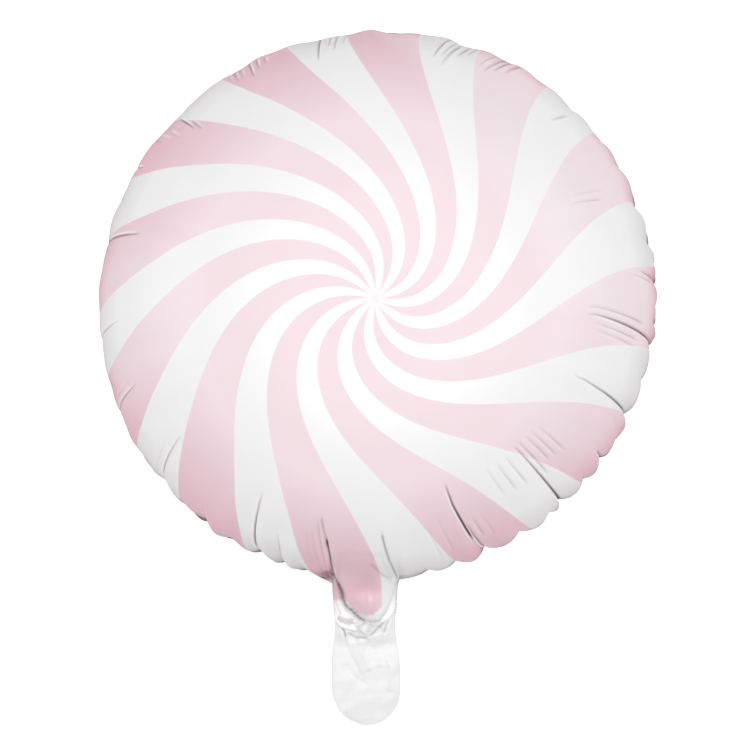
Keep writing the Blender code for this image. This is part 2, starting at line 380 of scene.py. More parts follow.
# Mesh of the body: widths of its columns at the rim in degrees, the share of them that
# crowds towards the folds, and the gaps between its rings
CREASED_SIDE = (-126, 8)
CREASED_STEP = 0.25
PLAIN_STEP = 0.45
CROWDING = 0.55
BACK_RING_STEP = 2
POLE_GAP = 6 * MM
FIRST_RING_GAP = 0.5 * MM
RING_GROWTH = 1.14
WIDEST_GAPS = ((62 * MM, 1.5 * MM), (104 * MM, 2.8 * MM), (1.0, 5 * MM))
HALF_COLUMNS_REACH = 104 * MM
QUARTER_COLUMNS_REACH = 155 * MM

# Slow in-and-out of the film near the rim: how high, how far from wave to wave, and the
# shares of the film from the middle between which it sets in
WAVE_HEIGHT = 0.22 * MM
WAVE_LENGTH = 13 * MM
WAVE_SEED = 3.0
WAVE_SHARES = (0.5, 0.78)
NOISE_MIDDLE = 0.5

# Ribs that the hot jaws press across the weld
RIB_PITCH = 1.7 * MM
RIB_WIDTH = 0.9 * MM
RIB_RISE = 0.22 * MM
RIB_SHARE = 0.92
RIB_SEGMENTS = 6
RIB_RINGS = 4

# The print: a swirl of twelve stripes, slightly off the middle of the film
STRIPES = 12
SWIRL_START = math.radians(-2.97)
SWIRL_TURN = math.radians(90.36)
SWIRL_SHARE = 0.3555
SWIRL_POWER = 1.6153
STRIPE_HALF_WIDTH = math.radians(8.15)
STRIPE_TAPER = 0.047
PRINT_SHIFT = (0.0044, -0.0099)
PRINT_BEND = (0.0563, -0.051)
PRINT_BEND_REACH = 1.2529
PRINT_EDGE = 0.9 * MM
HUB_RADIUS = 2.8 * MM
HUB_SOFTNESS = 0.35
HUB_STRENGTH = 0.5

# Camera and light
VIEW_DISTANCE = 2.5
VIEW_WIDTH = 473 * MM
VIEW_CENTRE = (-1.0 * MM, -44.5 * MM)
SENSOR_WIDTH = 36
FARTHEST_SEEN = 20
FLOOR_SIZE = 8
FLOOR_GLOW = 0.3
SKY_STRENGTH = 0.24

# Softboxes: name, place, size and power
SOFTBOXES = (
    ("overhead_softbox", (0.1, 0.05, 2.4), 2.0, 42),
    ("right_softbox", (1.5, 0.2, 0.95), 1.1, 4.3),
    ("left_softbox", (-1.5, 0.1, 0.85), 1.0, 4.7),
    ("upper_softbox", (0.1, 1.5, 0.8), 1.0, 1.3),
    ("lower_softbox", (-0.1, -1.5, 0.8), 1.0, 1.5),
)
SOFTBOX_TARGET = (0, 0, 0.1)

# A Mix node has its colour sockets after its number sockets
MIX_SHARE = 0
MIX_FIRST = 6
MIX_SECOND = 7
MIX_RESULT = 2

# Both inks, with painted shade that darkens them towards the rim, where the film gathers and stands on edge:
# share of the film from the middle, and the colour there
WHITE_PRINT_WITH_RIM_SHADE = (
    (0.0, "#F3F3F4"),
    (0.64, "#F4F3F4"),
    (0.76, "#EFEEEF"),
    (0.84, "#E0DEDF"),
    (0.89, "#D0CDCF"),
    (0.935, "#A8A5A7"),
)
PINK_PRINT_WITH_RIM_SHADE = (
    (0.0, "#E4CED5"),
    (0.3, "#EAD5DB"),
    (0.5, "#F3E0E6"),
    (0.64, "#EED2DB"),
    (0.75, "#E7C1CC"),
    (0.83, "#E0AEBC"),
    (0.885, "#D498A9"),
    (0.935, "#A56F7E"),
)
# A painted reflection pales the pink over one side of the sheet and in two patches. For the side: the way to
# it, and the distances that way between which it sets in. For each patch: its middle on the sheet, how far
# from it the patch ends and is full, and how strong the paling is. Near the rim, between the last two shares
# of the film, it fades out and the ink is full again
REFLECTION_PAINT = "#F1EBEE"
REFLECTION_WAY = (0.87, 0.49, 0.0)
REFLECTION_PLACES = (0.42, 0.56)
REFLECTION_AMOUNT = 0.62
REFLECTION_PATCHES = (
    ((0.64, -0.33, 0.0), 0.28, 0.1, 0.4),
    ((-0.71, -0.1, 0.0), 0.36, 0.12, 0.42),
)
REFLECTION_END = (0.925, 0.8)
BARE_FOIL = "#F5F5F5"
# Painted shade in the folds: its colour on the white and on the pink
WHITE_SHADE = "#636062"
PINK_SHADE = "#331219"
# Painted highlight on the film's edge beside a fold
FOLD_EDGE_HIGHLIGHT = "#FDF6F8"
CLEAR_FILM = "#F3F3F4"
PRINT_ROUGHNESS = (0.46, 0.54)
CLEAR_ROUGHNESS = (0.22, 0.32)
CLEAR_ALPHA = 0.85
PRINT_IOR = 1.7
PRINT_COAT = 0.2
PRINT_COAT_ROUGHNESS = 0.2
PATCH_SIZE = 32 * MM
PATCH_RANGE = (0.3, 0.7)
CRINKLE_SIZE = 5 * MM
CRINKLE_HEIGHT = 0.06 * MM
CRINKLE_DETAIL = 3.0
CRINKLE_DISTORTION = 0.6
FLOOR_WHITE = "#FAFAFA"
FLOOR_ROUGHNESS = 0.8


def film_tables():
    """Radius, height over the weld and film length to the weld, against the film's slope."""
    slope = np.linspace(0, 1, FILM_TABLE_ROWS) ** 2 * math.pi / 2
    middle = (slope[1:] + slope[:-1]) / 2
    step = np.diff(slope)
    drops = WELD_RADIUS / 2 * np.sqrt(np.sin(middle)) * step
    lengths = WELD_RADIUS / 2 / np.sqrt(np.sin(middle)) * step
    radius = WELD_RADIUS * np.sqrt(np.sin(slope))
    height = np.append(np.cumsum(drops[::-1])[::-1], 0)
    reach = np.append(np.cumsum(lengths[::-1])[::-1], 0)
    return radius, height, reach


FILM_RADIUS, FILM_HEIGHT, FILM_REACH = film_tables()
FILM_LENGTH = float(FILM_REACH[0])
RIM_LEVEL = float(np.interp(REST_SPOT_RADIUS, FILM_RADIUS, FILM_HEIGHT))


def at_reach(reach, table):
    """A value of the film's curve at a film distance from the weld."""
    return np.interp(-reach, -FILM_REACH, table)


def smooth_step(value, start=0, width=1):
    """0 before the start and 1 once the width is past, with a soft rise between."""
    share = np.clip((value - start) / width, 0, 1)
    return share * share * (3 - 2 * share)


def bell(value):
    """1 at zero, falling off softly on both sides."""
    return np.exp(-(value**2))


def half_wave(share):
    """From 0 to 1 along half a wave."""
    return (1 - np.cos(math.pi * share)) / 2


def mixed(first, second, share):
    return first + (second - first) * share


def wrapped(angle):
    return (angle + math.pi) % FULL_TURN - math.pi


def lean_at(angle, reach):
    """How far a fold's line has turned from its angle at the rim."""
    low = LOW_LEAN * bell(wrapped(angle - LOW_LEAN_AT) / LOW_LEAN_SPREAD)
    return (LEAN * np.cos(angle - LEAN_AXIS) + low) * np.minimum(reach / LEAN_REACH, LEAN_LIMIT)


def rim_columns():
    """For each column: the fold before it, and its share of the way to the next."""
    numbers = []
    shares = []
    for number, fold in enumerate(FOLDS):
        width = (FOLDS[(number + 1) % len(FOLDS)][0] - fold[0]) % 360
        middle = (fold[0] + width / 2 + 180) % 360 - 180
        step = CREASED_STEP if CREASED_SIDE[0] < middle < CREASED_SIDE[1] else PLAIN_STEP
        step = step if number else NECK_COLUMN_STEP
        count = 4 * max(2, round(width / step / 4))
        even = np.arange(count) / count
        numbers += [number] * count
        shares += list(mixed(even, half_wave(even), CROWDING))
    return np.array(numbers), np.array(shares)


def ring_reaches(last):
    """Film distances of the rings from the weld, fine beside it and where the creases run."""
    reaches = [0.0]
    gap = FIRST_RING_GAP
    while reaches[-1] + gap < last:
        reaches.append(reaches[-1] + gap)
        widest = next(gap_limit for limit, gap_limit in WIDEST_GAPS if reaches[-1] < limit)
        gap = min(gap * RING_GROWTH, widest)
    return np.array(reaches)


def fold_depths(number, reach):
    """Depths of the folds with these numbers, fading out over each one's reach."""
    table = np.array(FOLDS)[number % len(FOLDS)]
    past = np.maximum(0, reach - FULL_DEPTH_REACH) / (table[..., 2] * MM - FULL_DEPTH_REACH)
    return table[..., 1] * MM * np.maximum(0, 1 - past) ** FOLD_FADE


def fold_dents(number, share, reach):
    """How far the film lies in between two folds: least on the crest, with a cusp at each fold."""
    crests = []
    cusps = []
    for fold in (number, number + 1):
        angle = (np.array(FOLDS)[fold % len(FOLDS), 0] + 180) % 360 - 180
        is_round = (angle > ROUND_LOBES[0]) & (angle < ROUND_LOBES[1])
        depth = fold_depths(fold, reach)
        slight = (np.abs(angle - FULL_CREST_AT) - FULL_CREST_REACH) / (SLIGHT_CREST_REACH - FULL_CREST_REACH)
        crest = depth * SLIGHT_CREST * np.clip(slight, 0, 1)
        sharpness = np.where(is_round, ROUND_SHARPNESS, SLIGHT_SHARPNESS)
        crests.append(crest)
        cusps.append((depth - crest) * np.abs(2 * share - 1) ** sharpness)
    return mixed(*crests, half_wave(share)) + np.where(share < 0.5, *cusps)


def fold_angles(number, reach):
    """Where the lines of the folds with these numbers run at a film distance from the weld."""
    rim = np.radians(np.array(FOLDS)[number % len(FOLDS), 0] + 360 * (number // len(FOLDS)))
    return rim + lean_at(rim, reach)


def off_the_line(rim_degrees, angle, reach, radius):
    """Distance in millimetres from the line that runs in from an angle at the rim."""
    rim = math.radians(rim_degrees)
    return wrapped(angle - rim - lean_at(rim, reach)) * radius / MM


def crease_dents(angle, reach, radius):
    """Depth of the sharp creases with a low lip on each side, their painted shade, and the painted highlight
    beside them.
    """
    total = np.zeros_like(angle)
    shade = np.zeros_like(angle)
    edge = np.zeros_like(angle)
    for rim_degrees, depth, width, outer, inner in CREASES:
        distance = off_the_line(rim_degrees, angle, reach, radius)
        away = np.abs(distance) / width
        start = smooth_step(reach, outer * MM, CREASE_END) if outer else 1
        fade = start * np.clip((inner * MM - reach) / (inner - outer) / MM, 0, 1) ** CREASE_FADE
        lip = min(LIP_SHARE * depth, LIP_HIGHEST) * smooth_step(reach / MM, *LIP_START)
        lip = lip * bell((away - LIP_PLACE) / LIP_SPREAD)
        total += MM * fade * (depth * np.exp(-away) - lip)
        # Painted shade along the crease
        shade += min(1, depth / SHADE_DEPTH) * fade * bell(distance / SHADE_WIDTH)
        # Painted highlight on the film's edge beside the crease
        bright = start * smooth_step((inner - reach / MM) / EDGE_END) * smooth_step(reach / MM, *EDGE_START)
        edge += min(1, depth / EDGE_DEPTH) * bright * bell((distance + EDGE_PLACE) / EDGE_WIDTH)
    return total, shade, edge


def notch_shade(angle, reach, radius):
    """Painted shade in the notch where each fold meets the rim."""
    shade = np.zeros_like(angle)
    fade = np.maximum(0, 1 - reach / NOTCH_SHADE_REACH)
    for rim_degrees, depth, _ in FOLDS:
        distance = off_the_line(rim_degrees, angle, reach, radius)
        shade += min(1, depth / NOTCH_SHADE_DEPTH) * fade * bell(distance / NOTCH_SHADE_WIDTH)
    return shade


def slow_dents(angle, reach):
    """Broad, shallow unevenness that grows towards the rim."""
    random = np.random.default_rng(DENT_SEED)
    total = np.zeros_like(angle)
    for _ in range(DENT_COUNT):
        waves = random.integers(*DENT_WAVES)
        run = random.uniform(-1, 1) / DENT_RUN
        phase = random.uniform(0, FULL_TURN)
        size = DENT_DEPTH * (FULL_DENT_WAVES / waves) ** 0.5
        total += size * np.sin(waves * angle + run * reach + phase)
    return total * bell((reach - DENT_MIDDLE) / DENT_REACH)


def neck_across(x):
    """Place across the neck: 0 in its middle, -1 at its left side and 1 at its right."""
    return (x - NECK_X) / NECK_HALF_WIDTH


def neck_share(x, reach=0.0):
    """How much of the neck's form a place across it has: square at the weld, a soft bump above it."""
    bump = smooth_step(reach / NECK_BUMP_FILM)
    across = np.abs(neck_across(x)) / (1 + NECK_SPREAD * bump)
    squareness = mixed(NECK_SQUARENESS, NECK_BUMP_SQUARENESS, bump)
    power = mixed(1 / NECK_SQUARENESS, NECK_BUMP_POWER, bump)
    return np.maximum(0, 1 - across**squareness) ** power


def neck_length(x, reach=0.0):
    """How far the neck and its skirts draw the film out past the round rim."""
    across = neck_across(x)
    past = np.maximum(0, np.abs(across) - 1)
    skirt = mixed(NECK_LEFT_SKIRT, NECK_RIGHT_SKIRT, np.clip((across + 1) / 2, 0, 1))
    skirt = skirt * np.exp(-past * NECK_HALF_WIDTH / NECK_SKIRT_REACH)
    bulge = np.maximum(0, NECK_LENGTH * neck_share(x, reach) - skirt)
    skirt_fade = np.maximum(0, 1 - reach / NECK_SKIRT_FILM) ** NECK_SKIRT_ROUNDING
    return skirt * skirt_fade + bulge * np.maximum(0, 1 - reach / NECK_FILM)


def corner_lowering(x, reach):
    """What the film's height is multiplied by beside the neck, where its corners tuck in."""
    past = np.maximum(0, np.abs(x - NECK_X) - NECK_HALF_WIDTH)
    near = (1 - smooth_step(past / CORNER_WIDTH)) * (1 - smooth_step(reach, *CORNER_FILM))
    return 1 - CORNER_TUCK * near


def neck_lowering(x, reach):
    """What the film's height is multiplied by in the neck, which is low and round in section."""
    across = np.minimum(1, np.abs(neck_across(x)))
    low = mixed(NECK_LOWNESS, 1, smooth_step(reach, NECK_LOW_FILM, NECK_BLEND_FILM))
    section = mixed(np.sqrt(1 - across**2), 1, smooth_step(reach, NECK_ROUND_FILM, NECK_BLEND_FILM))
    return 1 - neck_share(x, reach) * (1 - low * section)


def line_distance(x, y, line):
    """Signed distance from a bent line in millimetres, and the distance along it to its nearer end."""
    best = np.full(np.shape(x), np.inf)
    signed = np.zeros(np.shape(x))
    along = np.zeros(np.shape(x))
    start = 0.0
    for (x0, y0), (x1, y1) in zip(line, line[1:]):
        length = math.hypot(x1 - x0, y1 - y0)
        run_x = (x1 - x0) / length
        run_y = (y1 - y0) / length
        step = np.clip((x - x0) * run_x + (y - y0) * run_y, 0, length)
        off_x = x - x0 - step * run_x
        off_y = y - y0 - step * run_y
        distance = np.hypot(off_x, off_y)
        nearer = distance < best
        side = np.where(run_x * off_y - run_y * off_x >= 0, 1.0, -1.0)
        signed = np.where(nearer, side * distance, signed)
        along = np.where(nearer, start + step, along)
        best = np.minimum(best, distance)
        start += length
    return signed, np.minimum(along, start - along)


def groove(signed, left_width, right_width):
    """1 on a line, falling off over a width of its own on each side."""
    return np.exp(-np.abs(signed) / np.where(signed > 0, left_width, right_width))


def line_folds(x, y, folds):
    """Depth and painted shade of the folds that are drawn as lines, at places in metres."""
    total = np.zeros(np.shape(x))
    shade = np.zeros(np.shape(x))
    for line, depth, left_width, right_width, dark in folds:
        signed, to_end = line_distance(x / MM, y / MM, line)
        fade = smooth_step(to_end / LINE_END)
        total = total + depth * MM * fade * groove(signed, left_width, right_width)
        shade = shade + dark * fade * bell(signed / SHADE_WIDTH)
    return total, shade


def neck_end(x, y):
    """Distance inside the fold that the filled neck ends in, its groove, and how bare the film is."""
    inside, to_end = line_distance(x / MM, y / MM, NECK_END_FOLD)
    fold = groove(inside, *NECK_END_WIDTHS) * smooth_step(to_end / LINE_END)
    limit = INK_END + INK_END_ROUNDING * (x / MM - INK_END_MIDDLE) ** 2
    limit = np.where(inside > 0, limit, INK_END_OUTSIDE)
    bare = smooth_step((limit - y / MM) / INK_EDGE + 0.5)
    return inside, fold, bare


def painted_neck_light(x, reach, in_neck):
    """How much painted light pales the neck towards the bare film colour, most on its right side, and its
    two corners.
    """
    neck = mixed(NECK_PAINTED_LIGHT, NECK_RIGHT_PAINTED_LIGHT, smooth_step(neck_across(x), *NECK_LIGHT_SIDE))
    neck = neck * in_neck * (1 - smooth_step(reach / NECK_FILM))
    past = np.abs(np.abs(x - NECK_X) - NECK_HALF_WIDTH)
    corner = (1 - smooth_step(past / CORNER_PAINTED_LIGHT_WIDTH)) * (1 - smooth_step(reach / CORNER_PAINTED_LIGHT_FILM))
    return np.maximum(neck, CORNER_PAINTED_LIGHT * corner)


def neck_dome(x, z, reach, inside):
    """Height of the film once the neck is filled: a dome inside its end fold, a low shelf outside."""
    dome = np.clip(inside / NECK_DOME_REACH, 0, 1)
    shelf = NECK_SHELF * smooth_step(reach / NECK_SHELF_FILM)
    filled = shelf + NECK_DOME_HEIGHT * np.sqrt(1 - (1 - dome) ** 2)
    side = smooth_step(np.abs(neck_across(x)), NECK_DOME_SIDE, 1 - NECK_DOME_SIDE)
    held = 1 - side * smooth_step(reach / NECK_DOME_FILM)
    share = neck_share(x, reach) * held * (1 - smooth_step(reach, NECK_DOME_FILM, NECK_DOME_BLEND))
    return mixed(z, filled * smooth_step(reach / CREASE_START), share)


def print_places(angle, reach, x, in_neck):
    """Where points lie on the printed sheet: x and y in film lengths, and the share from the middle."""
    held = reach + NECK_PRINT_BLEND * np.log1p(np.exp((NECK_PRINT_FILM - reach) / NECK_PRINT_BLEND))
    held_radius = at_reach(held, FILM_RADIUS)
    held_angle = -np.arccos(np.clip((x - NECK_PRINT_SHIFT) / held_radius, -1, 1))
    straight = in_neck * smooth_step((NECK_PRINT_FILM - reach) / NECK_STRAIGHT_BLEND + 0.5)
    print_angle = mixed(angle, held_angle, straight)
    share = (FILM_LENGTH - mixed(reach, held, in_neck)) / FILM_LENGTH
    bend = np.sin(math.pi * np.minimum(share, PRINT_BEND_REACH) / PRINT_BEND_REACH) ** 2
    print_x = share * np.cos(print_angle) + PRINT_SHIFT[0] + PRINT_BEND[0] * bend
    print_y = share * np.sin(print_angle) + PRINT_SHIFT[1] + PRINT_BEND[1] * bend
    return np.stack([print_x, print_y, share], -1)


def folded_panel(side, reach, number, share):
    """Places of one panel's points, with their print places, bareness with painted light, painted shade and
    painted highlight.
    """
    angle = mixed(fold_angles(number, reach), fold_angles(number + 1, reach), share)
    radius = at_reach(reach, FILM_RADIUS) + 0 * angle
    height = at_reach(reach, FILM_HEIGHT) + 0 * angle
    sin_slope = np.minimum(1, (radius / WELD_RADIUS) ** 2)
    cos_slope = np.sqrt(1 - sin_slope**2)

    creases, shade, edge = crease_dents(angle, reach, radius)
    shade = shade + notch_shade(angle, reach, radius)
    dent = fold_dents(number, share, reach)
    dent = dent + (creases + slow_dents(angle, reach)) * smooth_step(reach / CREASE_START)

    # The folds lie over to one side and to the other by turns, so the weld goes up and down
    heights = [fold_depths(fold, 0 * reach) * (-1.0) ** fold for fold in (number, number + 1)]
    wave = mixed(*heights, half_wave(share)) * SEAM_WAVE_SHARE * np.exp(-reach / SEAM_WAVE_REACH)

    oval = 1 + OVAL_SHARE * np.cos(2 * (angle - OVAL_AXIS))
    out = radius * oval - dent * sin_slope - WELD_RECESS * bell(reach / WELD_RECESS_REACH)
    x = out * np.cos(angle)
    y = out * np.sin(angle)
    z = np.maximum(0, height - dent * cos_slope)

    across = np.abs(neck_across(x))
    near_neck = (y < 0) * (reach < NECK_SIDE_FILM)
    in_neck = near_neck * smooth_step((NECK_EDGE - across) / NECK_EDGE_WIDTH)
    z = z * np.where(near_neck, neck_lowering(x, reach) * corner_lowering(x, reach), 1)
    y = y - near_neck * neck_length(x, reach)
    inside, end_fold, bare = neck_end(x, y)
    z = np.where(near_neck, neck_dome(x, z, reach, inside), z)
    lines, line_shade = line_folds(x, y, NECK_FOLDS)
    neck_dent = lines + NECK_END_DEPTH * MM * end_fold
    z = np.maximum(0, z - near_neck * neck_dent * smooth_step(reach / CREASE_START))
    # Painted shade in the neck's drawn folds and in its end fold
    end_shade = np.where(x < NECK_X, END_SHADE_LEFT, END_SHADE_RIGHT)
    shade = shade * (1 - in_neck) + near_neck * (line_shade + end_shade * end_fold)
    if side < 0:
        z = np.minimum(z, RIM_LEVEL)

    prints = print_places(angle, reach, x, in_neck)
    points = np.stack([x, y, side * z + wave + RIM_LEVEL], -1)
    on_neck = across < NECK_MARGIN
    # Bare film past the ink's end, and painted light that pales the neck and its corners
    bare = near_neck * np.maximum(bare * on_neck, painted_neck_light(x, reach, in_neck))
    edge = edge * (1 - near_neck * on_neck)
    values = np.clip(np.stack([bare, shade, edge], -1), 0, 1)
    return points, np.concatenate([prints, values], -1)


def strip_faces(outer, inner):
    """Faces between two rings of vertex numbers. The inner one may have half the columns."""
    faces = []
    stride = len(outer) // len(inner)
    for index, here in enumerate(inner):
        after = inner[(index + 1) % len(inner)]
        first = outer[stride * index]
        last = outer[stride * (index + 1) % len(outer)]
        if stride == 1:
            faces.append((first, last, after, here))
        else:
            middle = outer[2 * index + 1]
            faces += [(first, middle, here), (middle, after, here), (middle, last, after)]
    return faces


def stride_at(reach, first):
    """A ring keeps one column in this many, and fewer columns towards the middle."""
    halvings = sum(reach > limit for limit in (HALF_COLUMNS_REACH, QUARTER_COLUMNS_REACH))
    return min(first * 2**halvings, 4)


class Shell:
    """Collects the rings of the body and the faces between them."""

    def __init__(self):
        self.points = []
        self.prints = []
        self.faces = []
        self.count = 0

    def ring(self, points, prints):
        self.points.append(points)
        self.prints.append(prints)
        numbers = list(range(self.count, self.count + len(points)))
        self.count += len(points)
        return numbers

    def join(self, outer, inner, side):
        """Faces between two rings, turned over where the side is -1."""
        self.faces += [face[::side] for face in strip_faces(outer, inner)]


def body_mesh():
    """The closed mesh of the filled body, and the line along the weld that its ribs follow."""
    numbers, shares = rim_columns()
    shell = Shell()
    rims = []
    for side, first in ((1, 1), (-1, 2)):
        reaches = ring_reaches(FILM_LENGTH - POLE_GAP)
        if side < 0:
            reaches = reaches[::BACK_RING_STEP]
        points, prints = folded_panel(side, reaches[:, None], numbers[None, :], shares[None, :])
        points[0, :, 2] += side * WELD_HALF_THICKNESS
        outer = None
        for row, reach in enumerate(reaches):
            stride = stride_at(reach, first)
            ring = shell.ring(points[row, ::stride], prints[row, ::stride])
            if outer is None:
                rims.append((ring, points[0], prints[0]))
            else:
                shell.join(outer, ring, side)
            outer = ring
        middle = shell.ring(points[-1].mean(0)[None, :], np.array([[*PRINT_SHIFT, 0, 0, 0, 0]]))[0]
        for here, after in zip(outer, outer[1:] + outer[:1]):
            shell.faces.append((here, after, middle)[::side])
    front, edge_points, edge_prints = rims[0]
    tip = edge_points.copy()
    out = edge_points[:, :2] / np.linalg.norm(edge_points[:, :2], axis=1)[:, None]
    tip[:, :2] += out * WELD_WIDTH
    ring_front = shell.ring(tip, edge_prints)
    under = tip.copy()
    under[:, 2] -= 2 * WELD_HALF_THICKNESS
    ring_back = shell.ring(under[::2], edge_prints[::2])
    shell.join(ring_front, front, 1)
    shell.join(ring_front, ring_back, -1)
    shell.join(ring_back, rims[1][0], -1)
    ridge = (edge_points + tip) / 2
    ridge[:, 2] -= WELD_HALF_THICKNESS
    outside_neck = numbers > 0
    body = (np.concatenate(shell.points), np.concatenate(shell.prints), shell.faces)
    return body, (ridge[outside_neck], edge_prints[outside_neck])


def new_object(name, data):
    obj = bpy.data.objects.new(name, data)
    bpy.context.scene.collection.objects.link(obj)
    return obj


def mesh_object(name, points, faces, edges=()):
    mesh = bpy.data.meshes.new(name)
    mesh.from_pydata([tuple(point) for point in points], list(edges), faces)
    mesh.validate()
    mesh.shade_smooth()
    return new_object(name, mesh)


def add_values(piece, name, values):
    """A number for each point of a piece, which its material reads by name."""
    attribute = piece.data.attributes.new(name, "FLOAT", "POINT")
    attribute.data.foreach_set("value", values.astype(np.float32))


def tail_root(x):
    """Y of the outer edge of the body's weld at a place across the neck."""
    rim = WELD_RADIUS + WELD_WIDTH
    oval = 1 - OVAL_SHARE * math.cos(2 * OVAL_AXIS)
    return -np.sqrt((rim * oval - WELD_RECESS) ** 2 - x**2) - neck_length(x)


def crumpled(x, y):
    """Sharp-edged random facets, as film takes when it is gathered."""
    random = np.random.default_rng(COLLAR_SEED)
    warped_x = x / MM + COLLAR_WARP * np.sin(y / MM / COLLAR_WARP_LENGTHS[0])
    warped_y = y / MM + COLLAR_WARP * np.sin(x / MM / COLLAR_WARP_LENGTHS[1])
    total = np.zeros(np.shape(x))
    for _ in range(COLLAR_WAVES):
        turn = random.uniform(0, FULL_TURN)
        period = random.uniform(*COLLAR_PERIODS)
        run = (warped_x * math.cos(turn) + warped_y * math.sin(turn)) / period + random.uniform(0, 1)
        total = total + COLLAR_STEEPNESS * period * (np.abs(2 * (run % 1) - 1) - 0.5)
    return total * MM


def tail_half_width(along):
    """Half the tail's width at a distance from its root, with a round end."""
    width = mixed(TAIL_ROOT_HALF_WIDTH, TAIL_HALF_WIDTH, smooth_step(along / TAIL_FLARE_LENGTH))
    past = np.maximum(0, along - (TAIL_LENGTH - TAIL_HALF_WIDTH))
    return width * np.sqrt(np.maximum(0, 1 - (past / TAIL_HALF_WIDTH) ** 2))


def tail_mesh():
    """Two layers of film, a hair apart, joined along their edges."""
    straight = TAIL_LENGTH - TAIL_HALF_WIDTH
    turns = np.linspace(0, math.pi / 2 * TAIL_END_SHARE, TAIL_ROWS // 2)
    flat_rows = np.linspace(-TAIL_OVERLAP, straight, TAIL_ROWS - len(turns), endpoint=False)
    rows = np.concatenate([flat_rows, straight + TAIL_HALF_WIDTH * np.sin(turns)])
    along, across = np.meshgrid(rows, np.linspace(-1, 1, TAIL_COLUMNS + 1), indexing="ij")
    to_tip = along / TAIL_LENGTH
    x = NECK_X + across * tail_half_width(along) + TAIL_SKEW * to_tip
    y = mixed(tail_root(NECK_X + across * TAIL_ROOT_HALF_WIDTH), tail_root(NECK_X), to_tip) - along
    collar = smooth_step(y, COLLAR_PLACES[1], COLLAR_PLACES[0] - COLLAR_PLACES[1])
    collar = collar * (1 - across**COLLAR_SQUARENESS)
    z = collar * COLLAR_RISE + crumpled(x, y) * mixed(TAIL_CRUMPLE, 1, collar)
    lines, shade = line_folds(x, y, TAIL_FOLDS)
    z = z - TAIL_DROOP * to_tip**2 * np.sign(to_tip) + RIM_LEVEL - lines
    half = TAIL_THICKNESS / 2 * np.sqrt(np.clip(1 - across**TAIL_SQUARENESS, TAIL_THINNEST, 1))
    layers = [np.stack([x, y, z + side * half], -1).reshape(-1, 3) for side in (1, -1)]
    grid = np.arange(x.size).reshape(x.shape)
    corners = (grid[:-1, :-1], grid[1:, :-1], grid[1:, 1:], grid[:-1, 1:])
    upper = np.stack(corners, -1).reshape(-1, 4)
    edge = np.concatenate([grid[:, 0], grid[-1, 1:], grid[-2::-1, -1], grid[0, -2:0:-1]])
    after = np.roll(edge, -1)
    rim = np.stack([edge, edge + x.size, after + x.size, after], -1)
    faces = np.concatenate([upper, upper[:, ::-1] + x.size, rim]).tolist()
    return np.concatenate(layers), faces, np.tile(shade.ravel(), 2)


def linear(hex_colour):
    """An sRGB hex colour as linear red, green, blue and alpha."""
    channels = [int(hex_colour[place : place + 2], 16) / 255 for place in (1, 3, 5)]
    return (*[c / 12.92 if c <= 0.04045 else ((c + 0.055) / 1.055) ** 2.4 for c in channels], 1)


def add_node(tree, kind, inputs=(), **settings):
    """One node. Its inputs come in order or by name, each a value, a socket or a node."""
    node = tree.nodes.new(kind)
    for name, value in settings.items():
        setattr(node, name, value)
    if not isinstance(inputs, dict):
        inputs = dict(enumerate(inputs))
    for name, value in inputs.items():
        if isinstance(value, bpy.types.Node):
            value = value.outputs[0]
        if isinstance(value, bpy.types.NodeSocket):
            tree.links.new(value, node.inputs[name])
        else:
            node.inputs[name].default_value = value
    return node


def new_material(name):
    """A material, its node tree and its shader."""
    material = bpy.data.materials.new(name)
    material.use_nodes = True
    return material, material.node_tree, material.node_tree.nodes["Principled BSDF"]


def swirl_mask(tree, sheet):
    """1 on the pink stripes and 0 on the white, and the film's share from the middle."""
    parts = add_node(tree, "ShaderNodeSeparateXYZ", (sheet,))
    found = {"x": parts.outputs[0], "y": parts.outputs[1]}
    steps = (
        ("x squared", "MULTIPLY", "x", "x"),
        ("y squared", "MULTIPLY", "y", "y"),
        ("square", "ADD", "x squared", "y squared"),
        ("radius", "SQRT", "square", 0.0),
        ("angle", "ARCTAN2", "y", "x"),
        ("way out", "DIVIDE", "radius", SWIRL_SHARE),
        ("steeper", "POWER", "way out", SWIRL_POWER),
        ("downwards", "MULTIPLY", "steeper", -1.0),
        ("left to turn", "POWER", math.e, "downwards"),
        ("turned", "SUBTRACT", 1.0, "left to turn"),
        ("turn", "MULTIPLY", "turned", SWIRL_TURN),
        ("angle unturned", "SUBTRACT", "angle", "turn"),
        ("phase", "SUBTRACT", "angle unturned", SWIRL_START),
        ("off the stripe's middle", "PINGPONG", "phase", FULL_TURN / STRIPES / 2),
        ("inwards", "MULTIPLY", "radius", -1 / STRIPE_TAPER),
        ("taper", "POWER", math.e, "inwards"),
        ("full share", "SUBTRACT", 1.0, "taper"),
        ("half width", "MULTIPLY", "full share", STRIPE_HALF_WIDTH),
        ("inside", "SUBTRACT", "half width", "off the stripe's middle"),
        ("film radius", "MULTIPLY", "radius", FILM_LENGTH),
        ("to the edge", "MULTIPLY", "inside", "film radius"),
    )
    for name, operation, first, second in steps:
        values = (found.get(first, first), found.get(second, second))
        found[name] = add_node(tree, "ShaderNodeMath", values, operation=operation, label=name)
    edges = []
    for name, low, high, strength in (
        ("to the edge", -PRINT_EDGE / 2, PRINT_EDGE / 2, 1.0),
        ("film radius", HUB_RADIUS * (1 + HUB_SOFTNESS), HUB_RADIUS * (1 - HUB_SOFTNESS), HUB_STRENGTH),
    ):
        values = (found[name], low, high, 0.0, strength)
        edges.append(add_node(tree, "ShaderNodeMapRange", values, interpolation_type="SMOOTHSTEP"))
    return add_node(tree, "ShaderNodeMath", edges, operation="MAXIMUM"), parts.outputs[2]


def set_stops(ramp, stops):
    """Gives a colour ramp its stops, each a place and a hex colour."""
    while len(ramp.elements) < len(stops):
        ramp.elements.new(1)
    for element, (place, colour) in zip(ramp.elements, stops):
        element.position = place
        element.color = linear(colour)


